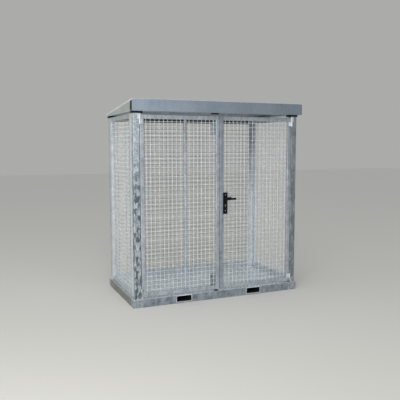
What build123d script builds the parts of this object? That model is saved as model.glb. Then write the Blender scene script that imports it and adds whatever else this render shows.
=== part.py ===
"""Gas cylinder container: a mesh cage with a floor, fork pockets, two door leaves and a mono-pitch roof.

The frame stands on the floor at Z = 0 with +Z up. X runs along the front, Y from the front to the
back, and the origin is under the middle of the roof. All lengths are in millimetres.
"""

from build123d import *
from math import atan, cos, sin
import os

os.makedirs("parts", exist_ok=True)

# Base frame of folded channels, with a hollow foot under each corner post
base_width = 2080
base_depth = 1110
base_height = 90
base_wall = 3
base_flange = 60
foot_width = 114
foot_depth = 90
foot_wall = 4

# Fork pockets, running from the front to the back between the channel flanges
pocket_centre_x = 445
pocket_opening_width = 180
pocket_opening_height = 65
pocket_wall = 3
pocket_floor_z = 18

# Floor sheet and the bearers under it
floor_thickness = 3
floor_inset = 10
floor_notch_clearance = 2
bearer_width = 40
bearer_height = 60
bearer_wall = 3
bearer_side_x = 740
bolt_hole_radius = 9

# Corner posts and the middle post of the back
post_width = 70
post_wall = 3
post_inset = 21
post_top = 2123
middle_post_width = 40
vent_hole_radius = 5
vent_hole_edge = 14

# Box section of the panel frames and the door leaves
frame_width = 45
frame_depth = 30
frame_wall = 2.5
panel_bottom_gap = 15
side_stile_width = 70

# Welded mesh: two layers of rods, joined through an edge strip
mesh_pitch = 50
mesh_wire = 4.5
mesh_layer_gap = 0.3
mesh_strip_width = 8

# Roof tray, pads and bearers: the fascia is a deep fold, open at its ends
roof_width = 2100
roof_front_overhang = 70
roof_back_setback = 15
roof_front_rise = 126
roof_back_rise = 26
roof_sheet_thickness = 1.5
roof_plate_thickness = 2
roof_side_hem = 15
roof_side_lip = 120
roof_back_lip = 25
fascia_lip = 80
fascia_hem = 15
fascia_end_gap = 4
pad_width = 116
pad_depth = 74
pad_height = 20
pad_side_edge = 10
pad_end_edge = 4
header_width = 40
roof_bearer_width = 40
roof_bearer_height = 25
roof_bearer_places = (0.42, 0.75)

# Door leaves
leaf_floor_gap = 23
leaf_top_gap = 13
leaf_middle_gap = 6
leaf_hinge_gap = 5

# Hinges: a barrel knuckle on the post with its pin, and a bored knuckle on the leaf
hinge_radius = 10
hinge_pin_radius = 6
hinge_pin_clearance = 0.3
hinge_knuckle_length = 56
hinge_knuckle_gap = 2
hinge_bore_cap = 6
hinge_tab_thickness = 6
post_tab_width = 27
leaf_tab_width = 46
hinge_floor_gap = 4
hinge_top_gap = 2

# Lock of the right leaf
lock_case_width = 60
lock_case_height = 264
lock_axis_offset = 18
lock_axis_z = 1170
cylinder_drop = 74
backplate_width = 52
backplate_height = 246
backplate_thickness = 8
backplate_corner_radius = 10
backplate_above_axis = 69
spindle_hole_radius = 9
lever_neck_radius = 8.7
lever_neck_length = 46
lever_collar_radius = 13
lever_collar_length = 9
lever_length = 130
lever_height = 19
lever_depth = 13

# Shoot bolts at the back of the left leaf
bolt_stile_gap = 17
bolt_radius = 6
bolt_clearance = 0.3
bolt_tail = 10
bolt_end_gap = 13
bolt_plate_width = 78
bolt_plate_length = 150
bolt_plate_thickness = 4
upper_plate_drop = 66
lower_plate_rise = 30
bolt_guide_width = 24
bolt_guide_height = 20
bolt_stand_off = 12
bolt_knob_radius = 4
bolt_knob_length = 26
bolt_knob_gap = 16
keeper_width = 80
keeper_depth = 36
keeper_height = 13
keeper_offset = 24

# Places worked out from the sizes above
overall_depth = base_depth + roof_front_overhang
roof_front = -overall_depth / 2
base_front = roof_front + roof_front_overhang
base_back = base_front + base_depth
roof_back = base_back - roof_back_setback
roof_depth = roof_back - roof_front
base_middle_y = (base_front + base_back) / 2
base_side = base_width / 2
post_outer = base_side - post_inset
post_inner = post_outer - post_width
floor_top = base_height + floor_thickness
panel_bottom = base_height + panel_bottom_gap
roof_bottom = post_top + pad_height
roof_front_top = roof_bottom + roof_front_rise
roof_back_top = roof_bottom + roof_back_rise
side_plate_front = roof_front + fascia_lip + fascia_end_gap
roof_slope = (roof_front_top - roof_back_top) / roof_depth
roof_angle = atan(roof_slope)
roof_inner = roof_width / 2 - roof_sheet_thickness
leaf_inner = leaf_middle_gap / 2
leaf_outer = post_inner - leaf_hinge_gap
leaf_back = base_front + frame_depth
leaf_bottom = floor_top + leaf_floor_gap
leaf_top = post_top - leaf_top_gap
upper_plate_top = leaf_top - upper_plate_drop
lower_plate_bottom = leaf_bottom + lower_plate_rise
hinge_x = (post_inner + leaf_outer) / 2
hinge_y = base_front - hinge_radius
lower_hinge_bottom = floor_top + hinge_floor_gap
upper_hinge_top = post_top - hinge_top_gap
lock_axis_x = leaf_inner + frame_width + lock_axis_offset
mesh_thickness = 2 * mesh_wire + mesh_layer_gap
bolt_plate_back = leaf_back + bolt_plate_thickness
bolt_x = -(leaf_inner + frame_width + bolt_stile_gap)
bolt_y = bolt_plate_back + bolt_stand_off
header_y = bolt_y
keeper_centre_x = bolt_x + keeper_offset


def save(piece, name):
    """Label a finished piece and write it as its own file."""
    piece.part.label = name
    export_step(piece.part, f"parts/{name}.step")


def upright(x, y, z):
    """Plane for a section that rises from this point."""
    return Plane(origin=(x, y, z), x_dir=(1, 0, 0), z_dir=(0, 0, 1))


def rightward(x, y, z):
    """Plane for a section that runs along +X, drawn with Y across and Z up."""
    return Plane(origin=(x, y, z), x_dir=(0, 1, 0), z_dir=(1, 0, 0))


def backward(x, y, z):
    """Plane for a section that runs along +Y, drawn with -X across and Z up."""
    return Plane(origin=(x, y, z), x_dir=(-1, 0, 0), z_dir=(0, 1, 0))


def box_tubes(planes, width, height, wall, length, round_corners=False):
    """Lengths of cold-formed box section, one on each plane, round-cornered where they show best."""
    with BuildPart() as tubes:
        with BuildSketch(*planes):
            outline = Rectangle(width, height)
            if round_corners:
                fillet(outline.vertices(), 2 * wall)
            else:
                chamfer(outline.vertices(), wall)
            Rectangle(width - 2 * wall, height - 2 * wall, mode=Mode.SUBTRACT)
        extrude(amount=length)
    return tubes


def roof_underside(y):
    """Height of the underside of the sloping roof sheet."""
    return roof_front_top - roof_sheet_thickness - roof_slope * (y - roof_front)


def channel_outline(direction):
    """Section of a base channel: its web stands at zero and its flanges reach in the direction."""
    inner = base_flange * direction
    web = base_wall * direction
    return [
        (0, 0),
        (inner, 0),
        (inner, base_wall),
        (web, base_wall),
        (web, base_height - base_wall),
        (inner, base_height - base_wall),
        (inner, base_height),
        (0, base_height),
        (0, 0),
    ]


def cross_channel(y, direction, bolt_hole):
    """Front or back channel, cut through where the fork pockets meet its web."""
    length = base_width - 2 * foot_width
    pocket_middle_z = pocket_floor_z + pocket_opening_height / 2
    with BuildPart() as channel:
        with BuildSketch(rightward(-length / 2, y, 0)):
            with BuildLine():
                Polyline(channel_outline(direction))
            make_face()
        extrude(amount=length)
        with BuildSketch(backward(0, y, pocket_middle_z)):
            with Locations((-pocket_centre_x, 0), (pocket_centre_x, 0)):
                Rectangle(
                    pocket_opening_width + 2 * pocket_wall, pocket_opening_height + 2 * pocket_wall
                )
        extrude(amount=base_wall * direction, mode=Mode.SUBTRACT)
        if bolt_hole:
            with Locations((bolt_x, bolt_y, base_height)):
                Hole(bolt_hole_radius, base_wall)
    return channel


def base_side_channels():
    """Channels of the two ends, between the corner feet."""
    length = base_depth - 2 * foot_depth
    with BuildPart() as channels:
        for side in (-1, 1):
            with BuildSketch(backward(side * base_side, base_front + foot_depth, 0)):
                with BuildLine():
                    Polyline(channel_outline(side))
                make_face()
            extrude(amount=length)
    return channels


def base_corner_feet():
    """Hollow feet with a closed top, one under each corner post."""
    x = base_side - foot_width / 2
    y_front = base_front + foot_depth / 2
    y_back = base_back - foot_depth / 2
    corners = [(-x, y_front), (x, y_front), (-x, y_back), (x, y_back)]
    with BuildPart() as feet:
        with BuildSketch():
            with Locations(*corners):
                Rectangle(foot_width, foot_depth)
        extrude(amount=base_height)
        with BuildSketch():
            with Locations(*corners):
                Rectangle(foot_width - 2 * foot_wall, foot_depth - 2 * foot_wall)
        extrude(amount=base_height - foot_wall, mode=Mode.SUBTRACT)
    return feet


def fork_pocket(x):
    """Rectangular sleeve for one fork, open at the front and the back."""
    middle_z = pocket_floor_z + pocket_opening_height / 2
    with BuildPart() as pocket:
        with BuildSketch(backward(x, base_front, middle_z)):
            Rectangle(pocket_opening_width + 2 * pocket_wall, pocket_opening_height + 2 * pocket_wall)
            Rectangle(pocket_opening_width, pocket_opening_height, mode=Mode.SUBTRACT)
        extrude(amount=base_depth)
    return pocket


def floor_sheet():
    """Floor sheet on the base, notched round the posts, with a hole for the lower bolt."""
    notch = post_width + 2 * floor_notch_clearance
    post_x = post_outer - post_width / 2
    notches = [
        (side * post_x, y) for side in (-1, 1) for y in (base_front + post_width / 2, base_back - post_width / 2)
    ]
    with BuildPart() as sheet:
        with BuildSketch(upright(0, 0, base_height)):
            with Locations((0, base_middle_y)):
                Rectangle(base_width - 2 * floor_inset, base_depth - 2 * floor_inset)
            with Locations(*notches):
                Rectangle(notch, notch, mode=Mode.SUBTRACT)
            with Locations((0, base_back - middle_post_width / 2)):
                Rectangle(
                    middle_post_width + 2 * floor_notch_clearance,
                    middle_post_width + 2 * floor_notch_clearance,
                    mode=Mode.SUBTRACT,
                )
            with Locations((bolt_x, bolt_y)):
                Circle(bolt_hole_radius, mode=Mode.SUBTRACT)
        extrude(amount=floor_thickness)
    return sheet


def corner_post(x_side, y_side):
    """Corner post of square tube, with two vent holes for galvanising in its outer faces."""
    x = x_side * (post_outer - post_width / 2)
    y = base_front + post_width / 2 if y_side < 0 else base_back - post_width / 2
    from_axis = post_width / 2 - vent_hole_edge
    vent_z = post_top - vent_hole_edge
    with BuildPart() as post:
        with BuildSketch(upright(x, y, base_height)):
            RectangleRounded(post_width, post_width, 2 * post_wall)
            Rectangle(post_width - 2 * post_wall, post_width - 2 * post_wall, mode=Mode.SUBTRACT)
        extrude(amount=post_top - base_height)
        with BuildSketch(backward(x + x_side * from_axis, y, vent_z)):
            Circle(vent_hole_radius)
        extrude(amount=y_side * post_width, mode=Mode.SUBTRACT)
        with BuildSketch(rightward(x, y - y_side * from_axis, vent_z)):
            Circle(vent_hole_radius)
        extrude(amount=x_side * post_width, mode=Mode.SUBTRACT)
    return post


def mesh_panel(plane, width, height, cut_out=None):
    """Welded mesh in an opening: upright rods in front, level rods behind, and an edge strip.

    The rods keep their pitch, and what is left of it is shared between the two edges. They end in
    the edge strip, and the two layers stand a hair apart where they cross.
    cut_out is the centre and size of a rectangle that the mesh leaves free.
    """
    columns = int(width / mesh_pitch)
    rows = int(height / mesh_pitch)
    strip = 2 * mesh_strip_width
    behind = plane.offset(mesh_wire + mesh_layer_gap)
    with BuildPart() as mesh:
        with BuildSketch(plane):
            Rectangle(width, height)
            Rectangle(width - strip, height - strip, mode=Mode.SUBTRACT)
        extrude(amount=mesh_thickness)
        with BuildSketch(plane):
            with GridLocations(mesh_pitch, 0, columns, 1):
                Rectangle(mesh_wire, height - strip)
        extrude(amount=mesh_wire)
        with BuildSketch(behind):
            with GridLocations(0, mesh_pitch, 1, rows):
                Rectangle(width - strip, mesh_wire)
        extrude(amount=mesh_wire)
        if cut_out:
            centre, cut_width, cut_height = cut_out
            with BuildSketch(plane):
                with Locations(centre):
                    Rectangle(cut_width, cut_height)
            extrude(amount=mesh_thickness, mode=Mode.SUBTRACT)
    return mesh


def roof_profile(points, x, length):
    """A folded roof plate that keeps one section along X."""
    with BuildPart() as plate:
        with BuildSketch(rightward(x, 0, 0)):
            with BuildLine():
                Polyline(points + points[:1])
            make_face()
        extrude(amount=length)
    return plate


def roof_sheet():
    """Sloping sheet, with a narrow hem folded down along each side."""
    thickness = roof_sheet_thickness
    hem_points = [
        (roof_front, roof_front_top - roof_side_hem),
        (roof_back, roof_back_top - roof_side_hem),
        (roof_back, roof_back_top),
        (roof_front, roof_front_top),
        (roof_front, roof_front_top - roof_side_hem),
    ]
    with BuildPart() as sheet:
        with BuildSketch(rightward(-roof_width / 2, 0, 0)):
            with BuildLine():
                Polyline(
                    (roof_front, roof_underside(roof_front)),
                    (roof_back, roof_underside(roof_back)),
                    (roof_back, roof_back_top),
                    (roof_front, roof_front_top),
                    (roof_front, roof_underside(roof_front)),
                )
            make_face()
        extrude(amount=roof_width)
        with BuildSketch(rightward(-roof_width / 2, 0, 0), rightward(roof_width / 2 - thickness, 0, 0)):
            with BuildLine():
                Polyline(hem_points)
            make_face()
        extrude(amount=thickness)
    return sheet


def roof_front_fascia():
    """Front edge of the roof: a deep fold with a wide bottom flange and an upturned hem."""
    wall = roof_plate_thickness
    y_inner = roof_front + wall
    y_lip = roof_front + fascia_lip
    points = [
        (roof_front, roof_bottom),
        (y_lip, roof_bottom),
        (y_lip, roof_bottom + fascia_hem),
        (y_lip - wall, roof_bottom + fascia_hem),
        (y_lip - wall, roof_bottom + wall),
        (y_inner, roof_bottom + wall),
        (y_inner, roof_underside(y_inner)),
        (roof_front, roof_underside(roof_front)),
    ]
    return roof_profile(points, -roof_inner, 2 * roof_inner)


def roof_back_edge():
    """Back edge of the roof tray, with a lip folded inwards along its bottom."""
    y_inner = roof_back - roof_plate_thickness
    y_lip = roof_back - roof_back_lip
    lip_top = roof_bottom + roof_plate_thickness
    points = [
        (roof_back, roof_bottom),
        (y_lip, roof_bottom),
        (y_lip, lip_top),
        (y_inner, lip_top),
        (y_inner, roof_underside(y_inner)),
        (roof_back, roof_underside(roof_back)),
    ]
    return roof_profile(points, -roof_inner, 2 * roof_inner)


def roof_side_plates():
    """Tapering ends of the roof tray, with a wide lip that rests on the post pads."""
    wall = roof_plate_thickness
    back = roof_back - wall
    lip_back = roof_back - roof_back_lip
    with BuildPart() as plates:
        for side in (-1, 1):
            with BuildSketch(rightward(side * roof_inner, 0, 0)):
                with BuildLine():
                    Polyline(
                        (side_plate_front, roof_bottom),
                        (lip_back, roof_bottom),
                        (lip_back, roof_bottom + wall),
                        (back, roof_bottom + wall),
                        (back, roof_underside(back)),
                        (side_plate_front, roof_underside(side_plate_front)),
                        (side_plate_front, roof_bottom),
                    )
                make_face()
            extrude(amount=-side * wall)
            lip_middle = side * (roof_inner - roof_side_lip / 2)
            with BuildSketch(upright(lip_middle, (side_plate_front + lip_back) / 2, roof_bottom)):
                Rectangle(roof_side_lip, lip_back - side_plate_front)
            extrude(amount=wall)
    return plates


def post_pads():
    """Black plastic pads between the post tops and the roof."""
    x = post_outer + pad_side_edge - pad_width / 2
    y_front = base_front - pad_end_edge + pad_depth / 2
    y_back = base_back - pad_depth / 2
    with BuildPart() as pads:
        with BuildSketch(upright(0, 0, post_top)):
            with Locations((-x, y_front), (x, y_front), (-x, y_back), (x, y_back)):
                Rectangle(pad_width, pad_depth)
        extrude(amount=pad_height)
    return pads


def roof_bearers():
    """Cross tubes under the sheet: a header over the doors, and two that follow the slope."""
    length = 2 * (roof_inner - roof_plate_thickness)
    start = -length / 2
    header_z = roof_bottom + roof_plate_thickness + header_width / 2
    wall = frame_wall
    with BuildPart() as bearers:
        with BuildSketch(rightward(start, header_y, header_z)):
            Rectangle(header_width, header_width)
            Rectangle(header_width - 2 * wall, header_width - 2 * wall, mode=Mode.SUBTRACT)
        extrude(amount=length)
        for y in (roof_front + roof_depth * share for share in roof_bearer_places):
            drop = roof_bearer_height / 2
            centre = (start, y - drop * sin(roof_angle), roof_underside(y) - drop * cos(roof_angle))
            tilted = Plane(origin=centre, x_dir=(0, cos(roof_angle), -sin(roof_angle)), z_dir=(1, 0, 0))
            with BuildSketch(tilted):
                Rectangle(roof_bearer_width, roof_bearer_height)
                Rectangle(roof_bearer_width - 2 * wall, roof_bearer_height - 2 * wall, mode=Mode.SUBTRACT)
            extrude(amount=length)
    return bearers


def bolt_keeper():
    """Block under the header that takes the tip of the upper bolt."""
    with BuildPart() as keeper:
        with BuildSketch(upright(keeper_centre_x, header_y, roof_bottom + roof_plate_thickness)):
            Rectangle(keeper_width, keeper_depth)
        extrude(amount=-keeper_height)
        with Locations((bolt_x, bolt_y, roof_bottom + roof_plate_thickness)):
            Hole(bolt_hole_radius, keeper_height)
    return keeper


def post_knuckles():
    """Knuckles on the posts. The lower pins point up and the upper pins down."""
    lower_top = lower_hinge_bottom + hinge_knuckle_length
    upper_bottom = upper_hinge_top - hinge_knuckle_length
    pin_reach = hinge_knuckle_gap + hinge_knuckle_length - hinge_bore_cap - 2
    tab_y = base_front - hinge_tab_thickness / 2
    with BuildPart() as knuckles:
        for side in (-1, 1):
            x = side * hinge_x
            tab_x = x + side * post_tab_width / 2
            for bottom, pin_base, pin_length in (
                (lower_hinge_bottom, lower_top, pin_reach),
                (upper_bottom, upper_bottom, -pin_reach),
            ):
                with BuildSketch(upright(0, 0, bottom)):
                    with Locations((x, hinge_y)):
                        Circle(hinge_radius)
                    with Locations((tab_x, tab_y)):
                        Rectangle(post_tab_width, hinge_tab_thickness)
                extrude(amount=hinge_knuckle_length)
                with BuildSketch(upright(x, hinge_y, pin_base)):
                    Circle(hinge_pin_radius)
                extrude(amount=pin_length)
    return knuckles


def leaf_knuckles(side):
    """Bored knuckles on one leaf, each closed at the end away from its post knuckle."""
    lower_bottom = lower_hinge_bottom + hinge_knuckle_length + hinge_knuckle_gap
    upper_bottom = upper_hinge_top - 2 * hinge_knuckle_length - hinge_knuckle_gap
    bore_length = hinge_knuckle_length - hinge_bore_cap
    x = side * hinge_x
    tab_x = x - side * leaf_tab_width / 2
    tab_y = base_front - hinge_tab_thickness / 2
    with BuildPart() as knuckles:
        with BuildSketch(upright(0, 0, lower_bottom), upright(0, 0, upper_bottom)):
            with Locations((x, hinge_y)):
                Circle(hinge_radius)
            with Locations((tab_x, tab_y)):
                Rectangle(leaf_tab_width, hinge_tab_thickness)
        extrude(amount=hinge_knuckle_length)
        bore_starts = (lower_bottom, upper_bottom + hinge_bore_cap)
        with BuildSketch(*[upright(x, hinge_y, z) for z in bore_starts]):
            Circle(hinge_pin_radius + hinge_pin_clearance)
        extrude(amount=bore_length, mode=Mode.SUBTRACT)
    return knuckles


def leaf_stiles(side):
    """The two uprights of a leaf frame."""
    offsets = (leaf_inner + frame_width / 2, leaf_outer - frame_width / 2)
    planes = [upright(side * x, base_front + frame_depth / 2, leaf_bottom) for x in offsets]
    return box_tubes(planes, frame_width, frame_depth, frame_wall, leaf_top - leaf_bottom, True)


def leaf_rails(side):
    """The level members of a leaf frame, between its stiles."""
    length = leaf_outer - leaf_inner - 2 * frame_width
    start = min(side * (leaf_inner + frame_width), side * (leaf_outer - frame_width))
    heights = (leaf_bottom + frame_width / 2, leaf_top - frame_width / 2)
    planes = [rightward(start, base_front + frame_depth / 2, z) for z in heights]
    return box_tubes(planes, frame_depth, frame_width, frame_wall, length, True)


def leaf_mesh(side, cut_out=None):
    """Mesh of one leaf."""
    width = leaf_outer - leaf_inner - 2 * frame_width
    height = leaf_top - leaf_bottom - 2 * frame_width
    x = side * (leaf_inner + leaf_outer) / 2
    y = base_front + (frame_depth - mesh_thickness) / 2
    return mesh_panel(backward(x, y, (leaf_top + leaf_bottom) / 2), width, height, cut_out)


def bolt_plates():
    """Plates on the back of the left leaf, each with two guides for its shoot bolt."""
    guide_reach = bolt_stand_off + bolt_guide_width / 2
    with BuildPart() as plates:
        for bottom in (lower_plate_bottom, upper_plate_top - bolt_plate_length):
            with BuildSketch(upright(bolt_x, leaf_back + bolt_plate_thickness / 2, bottom)):
                Rectangle(bolt_plate_width, bolt_plate_thickness)
            extrude(amount=bolt_plate_length)
            guide_bottoms = (bottom, bottom + bolt_plate_length - bolt_guide_height)
            with BuildSketch(*[upright(bolt_x, bolt_plate_back + guide_reach / 2, z) for z in guide_bottoms]):
                Rectangle(bolt_guide_width, guide_reach)
            extrude(amount=bolt_guide_height)
            with BuildSketch(upright(bolt_x, bolt_y, bottom)):
                Circle(bolt_radius + bolt_clearance)
            extrude(amount=bolt_plate_length, mode=Mode.SUBTRACT)
    return plates


def shoot_bolt(tip_z, far_end, direction):
    """Round bolt, drawn back, that runs through both guides and has its knob between them."""
    foot_z = far_end - direction * bolt_tail
    knob_z = far_end + direction * (bolt_guide_height + bolt_knob_gap)
    with BuildPart() as bolt:
        with BuildSketch(upright(bolt_x, bolt_y, min(tip_z, foot_z))):
            Circle(bolt_radius)
        extrude(amount=abs(tip_z - foot_z))
        with BuildSketch(backward(bolt_x, bolt_y, knob_z)):
            Circle(bolt_knob_radius)
        extrude(amount=bolt_radius + bolt_knob_length)
    return bolt


def lock_case():
    """Lock case welded to the meeting stile, with its spindle hole through both faces."""
    case_middle_z = lock_axis_z + backplate_above_axis - backplate_height / 2
    x = leaf_inner + frame_width + lock_case_width / 2
    with BuildPart() as case:
        with BuildSketch(backward(x, base_front, case_middle_z)):
            Rectangle(lock_case_width, lock_case_height)
        extrude(amount=frame_depth)
        with BuildSketch(backward(lock_axis_x, base_front, lock_axis_z)):
            Circle(spindle_hole_radius)
        extrude(amount=frame_depth, mode=Mode.SUBTRACT)
    return case


def backplates():
    """Narrow rounded plates that cover the lock on the outside and the inside."""
    middle_z = lock_axis_z + backplate_above_axis - backplate_height / 2
    with BuildPart() as plates:
        with BuildSketch(
            backward(lock_axis_x, base_front - backplate_thickness, middle_z),
            backward(lock_axis_x, leaf_back, middle_z),
        ):
            RectangleRounded(backplate_width, backplate_height, backplate_corner_radius)
            with Locations((0, lock_axis_z - middle_z)):
                Circle(spindle_hole_radius, mode=Mode.SUBTRACT)
        extrude(amount=backplate_thickness)
    return plates


def lock_cylinder():
    """Profile cylinder that stands out of the outer plate below the lever."""
    z = lock_axis_z - cylinder_drop
    face = base_front - backplate_thickness
    with BuildPart() as cylinder:
        with BuildSketch(backward(lock_axis_x, face, z)):
            Circle(8.5)
            with Locations((0, -11)):
                Rectangle(10, 22)
        extrude(amount=-3)
    return cylinder


def lever_handle():
    """Levers on both faces, joined by the neck that runs through the lock."""
    outer_face = base_front - backplate_thickness
    inner_face = leaf_back + backplate_thickness
    outer_end = outer_face - lever_neck_length
    inner_end = inner_face + lever_neck_length
    with BuildPart() as lever:
        with BuildSketch(backward(lock_axis_x, outer_end, lock_axis_z)):
            Circle(lever_neck_radius)
        extrude(amount=inner_end - outer_end)
        for start in (outer_face - 0.3 - lever_collar_length, inner_face + 0.3):
            with BuildSketch(backward(lock_axis_x, start, lock_axis_z)):
                Circle(lever_collar_radius)
            extrude(amount=lever_collar_length)
        for start in (outer_end, inner_end - lever_depth):
            with BuildSketch(backward(lock_axis_x, start, lock_axis_z)):
                with Locations((-(lever_length - lever_height) / 2, 0)):
                    SlotOverall(lever_length, lever_height)
            extrude(amount=lever_depth)
    return lever


# Base
save(cross_channel(base_front, 1, True), "base_front_channel")
save(cross_channel(base_back, -1, False), "base_back_channel")
save(base_side_channels(), "base_side_channels")
save(base_corner_feet(), "base_corner_feet")
save(fork_pocket(-pocket_centre_x), "fork_pocket_left")
save(fork_pocket(pocket_centre_x), "fork_pocket_right")
bearer_planes = [
    backward(x, base_front + base_flange, base_height - bearer_height / 2)
    for x in (-bearer_side_x, 0, bearer_side_x)
]
save(
    box_tubes(bearer_planes, bearer_width, bearer_height, bearer_wall, base_depth - 2 * base_flange),
    "floor_bearers",
)
save(floor_sheet(), "floor_sheet")

# Posts and pads
save(corner_post(-1, -1), "front_left_post")
save(corner_post(1, -1), "front_right_post")
save(corner_post(-1, 1), "back_left_post")
save(corner_post(1, 1), "back_right_post")
middle_post_plane = upright(0, base_back - middle_post_width / 2, base_height)
save(
    box_tubes([middle_post_plane], middle_post_width, middle_post_width, frame_wall, post_top - base_height),
    "back_middle_post",
)
save(post_pads(), "post_pads")

# Side panels
side_front = base_front + post_width
side_back = base_back - post_width
side_middle_x = post_outer - frame_depth / 2
stile_ys = (side_front + side_stile_width / 2, side_back - side_stile_width / 2)
save(
    box_tubes(
        [upright(side * side_middle_x, y, panel_bottom) for side in (-1, 1) for y in stile_ys],
        frame_depth,
        side_stile_width,
        frame_wall,
        post_top - panel_bottom,
    ),
    "side_panel_stiles",
)
side_rail_length = side_back - side_front - 2 * side_stile_width
for rail_name, rail_z in (
    ("side_top_rails", post_top - frame_width / 2),
    ("side_bottom_rails", panel_bottom + frame_width / 2),
):
    save(
        box_tubes(
            [backward(side * side_middle_x, side_front + side_stile_width, rail_z) for side in (-1, 1)],
            frame_depth,
            frame_width,
            frame_wall,
            side_rail_length,
        ),
        rail_name,
    )
mesh_height = post_top - panel_bottom - 2 * frame_width
mesh_middle_z = (post_top + panel_bottom) / 2
for side, mesh_name in ((-1, "left_side_mesh"), (1, "right_side_mesh")):
    mesh_x = side * side_middle_x - mesh_thickness / 2
    mesh_plane = rightward(mesh_x, (side_front + side_back) / 2, mesh_middle_z)
    save(mesh_panel(mesh_plane, side_rail_length, mesh_height), mesh_name)

# Back panel, in two bays beside the middle post
bay_width = post_inner - middle_post_width / 2
back_rail_y = base_back - frame_depth / 2
back_rail_starts = (-post_inner, middle_post_width / 2)
for rail_name, rail_z in (
    ("back_top_rails", post_top - frame_width / 2),
    ("back_bottom_rails", panel_bottom + frame_width / 2),
):
    save(
        box_tubes(
            [rightward(x, back_rail_y, rail_z) for x in back_rail_starts],
            frame_depth,
            frame_width,
            frame_wall,
            bay_width,
        ),
        rail_name,
    )
for side, mesh_name in ((-1, "back_left_mesh"), (1, "back_right_mesh")):
    bay_x = side * (post_inner + middle_post_width / 2) / 2
    mesh_plane = backward(bay_x, back_rail_y - mesh_thickness / 2, mesh_middle_z)
    save(mesh_panel(mesh_plane, bay_width, mesh_height), mesh_name)

# Roof
save(roof_sheet(), "roof_sheet")
save(roof_front_fascia(), "roof_front_fascia")
save(roof_back_edge(), "roof_back_edge")
save(roof_side_plates(), "roof_side_plates")
save(roof_bearers(), "roof_bearers")
save(bolt_keeper(), "bolt_keeper")

# Doors
save(post_knuckles(), "post_hinge_knuckles")
lock_cut_centre_z = lock_axis_z + backplate_above_axis - backplate_height / 2
lock_cut_x = leaf_inner + frame_width + lock_case_width / 2
leaf_middle_x = (leaf_inner + leaf_outer) / 2
lock_cut = (
    (leaf_middle_x - lock_cut_x, lock_cut_centre_z - (leaf_top + leaf_bottom) / 2),
    lock_case_width,
    lock_case_height,
)
for side, leaf, cut_out in ((-1, "left_door", None), (1, "right_door", lock_cut)):
    save(leaf_stiles(side), f"{leaf}_stiles")
    save(leaf_rails(side), f"{leaf}_rails")
    save(leaf_mesh(side, cut_out), f"{leaf}_mesh")
    save(leaf_knuckles(side), f"{leaf}_knuckles")

# Bolts of the left leaf
save(bolt_plates(), "left_door_bolt_plates")
keeper_bottom = roof_bottom + roof_plate_thickness - keeper_height
upper_far_end = upper_plate_top - bolt_plate_length
lower_far_end = lower_plate_bottom + bolt_plate_length
save(shoot_bolt(keeper_bottom - bolt_end_gap, upper_far_end, 1), "top_bolt")
save(shoot_bolt(floor_top + bolt_end_gap, lower_far_end, -1), "bottom_bolt")

# Lock of the right leaf
save(lock_case(), "lock_case")
save(backplates(), "lock_backplates")
save(lock_cylinder(), "lock_cylinder")
save(lever_handle(), "lever_handle")
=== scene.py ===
# %% [markdown]
# # A galvanised cage for gas cylinders
#
# The real thing is a welded steel cage that stands on a base with two fork pockets. Its posts, door
# frames, mesh and roof are all dipped in or coated with zinc, so almost everything here is one metal
# with many surfaces: smooth coated sheet on the roof, mottled zinc on the posts, bright thin wire in
# the mesh. The solid frame comes from CAD and stays as it is. This script gives it its surfaces, and
# adds what is too fine for CAD: round wires, weld beads, screws and the parts of the lock.

# %% Load the frame
import math

import bmesh
import bpy
from mathutils import Matrix, Vector


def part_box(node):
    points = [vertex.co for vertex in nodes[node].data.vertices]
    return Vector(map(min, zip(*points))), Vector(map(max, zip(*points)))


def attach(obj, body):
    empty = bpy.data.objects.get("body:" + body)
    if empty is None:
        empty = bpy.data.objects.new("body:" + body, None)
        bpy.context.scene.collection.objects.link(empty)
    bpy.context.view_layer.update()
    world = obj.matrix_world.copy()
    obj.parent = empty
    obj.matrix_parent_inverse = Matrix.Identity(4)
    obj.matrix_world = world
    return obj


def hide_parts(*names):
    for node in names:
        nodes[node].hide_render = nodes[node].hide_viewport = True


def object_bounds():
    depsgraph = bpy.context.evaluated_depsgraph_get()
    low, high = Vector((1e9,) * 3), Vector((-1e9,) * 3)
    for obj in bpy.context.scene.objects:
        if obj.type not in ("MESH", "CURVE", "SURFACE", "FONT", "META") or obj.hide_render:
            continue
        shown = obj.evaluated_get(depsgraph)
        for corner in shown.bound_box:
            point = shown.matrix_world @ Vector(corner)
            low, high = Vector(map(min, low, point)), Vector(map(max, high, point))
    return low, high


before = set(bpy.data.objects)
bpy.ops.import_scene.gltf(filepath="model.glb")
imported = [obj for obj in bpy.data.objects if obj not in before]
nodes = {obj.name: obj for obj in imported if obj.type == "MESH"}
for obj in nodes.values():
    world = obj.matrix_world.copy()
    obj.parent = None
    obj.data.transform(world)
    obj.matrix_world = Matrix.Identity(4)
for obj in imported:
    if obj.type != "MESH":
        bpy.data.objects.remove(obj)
cad_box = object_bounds()
MM = 0.001
print("nodes", len(nodes), "CAD box", [tuple(round(c, 3) for c in corner) for corner in cad_box])

# %% [markdown]
# ## Camera
#
# The camera comes first, because every later choice is judged through it. It stands to the left of
# the doors, more than half a metre above the lock, and looks a little down, so the sides of the cage
# close in slightly towards the bottom. Turning the camera by yaw, pitch and a trace of roll keeps each
# of the three numbers readable, which a look-at constraint wouldn't.

# %% Camera
CAMERA_PLACE = Vector((-2.5908, -6.0247, 1.7536))
YAW_RIGHT, PITCH_DOWN, ROLL = 0.4023, 0.0979, -0.0015

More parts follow.
